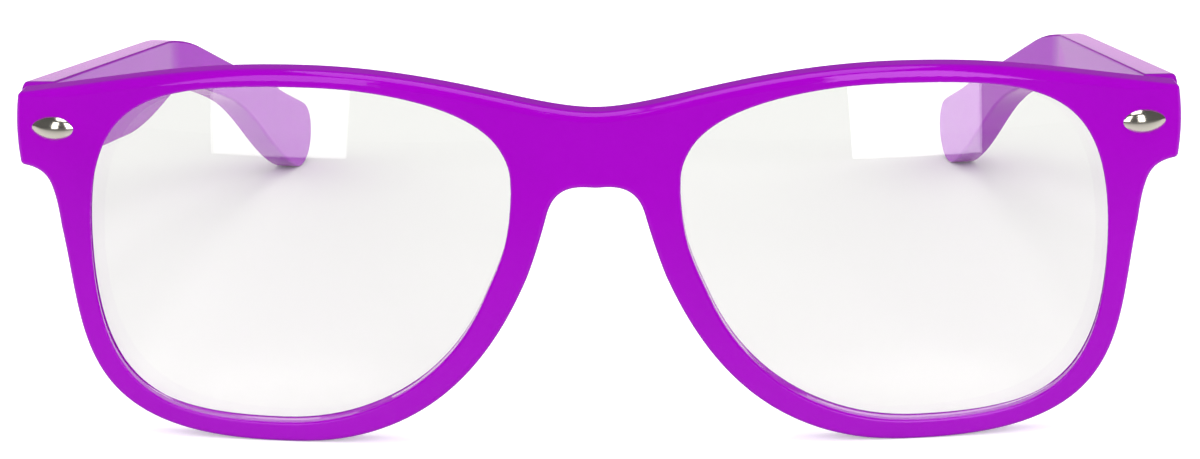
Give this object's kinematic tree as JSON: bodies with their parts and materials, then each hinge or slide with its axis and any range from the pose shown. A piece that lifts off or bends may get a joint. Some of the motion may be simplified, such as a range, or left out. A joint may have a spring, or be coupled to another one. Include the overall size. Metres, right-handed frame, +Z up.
{
  "type": "clear lens sunglasses",
  "caption": "Glossy moulded frame with wide upper corners, clear curved lenses, oval metal studs on the end pieces and arms that fold on barrel hinges.",
  "frame": {"origin": "on the table, under the middle of the bounding box of the glasses standing open", "axes": "+Z up; -Y is the way the lenses face; +X is the viewer's right when looking at the front"},
  "size_m": [0.1436, 0.1526, 0.0472],
  "materials": {
    "frame_plastic": "polished, saturated purple",
    "lens_clear": "clear, with a faint warm grey tint",
    "stud_metal": "polished",
    "hinge_metal": "plain"
  },
  "bodies": {
    "front": {"front_frame": "frame_plastic", "lens_left": "lens_clear", "lens_right": "lens_clear", "stud_left": "stud_metal", "stud_right": "stud_metal", "front_hinge_leaf_left": "hinge_metal", "front_hinge_leaf_right": "hinge_metal", "hinge_screw_left": "hinge_metal", "hinge_screw_right": "hinge_metal"},
    "arm_left": {"temple_left": "frame_plastic", "temple_hinge_leaf_left": "hinge_metal", "temple_leaf_screws_left": "hinge_metal"},
    "arm_right": {"temple_right": "frame_plastic", "temple_hinge_leaf_right": "hinge_metal", "temple_leaf_screws_right": "hinge_metal"}
  },
  "joints": [
    {"name": "arm_right_hinge", "type": "hinge", "parent": "front", "child": "arm_right", "pos_m": [0.06595, -0.06181, 0.0387], "axis": [0, 0, 1], "range_deg": [0, 84]},
    {"name": "arm_left_hinge", "type": "hinge", "parent": "front", "child": "arm_left", "pos_m": [-0.06595, -0.06181, 0.0387], "axis": [0, 0, -1], "range_deg": [0, 75]}
  ]
}
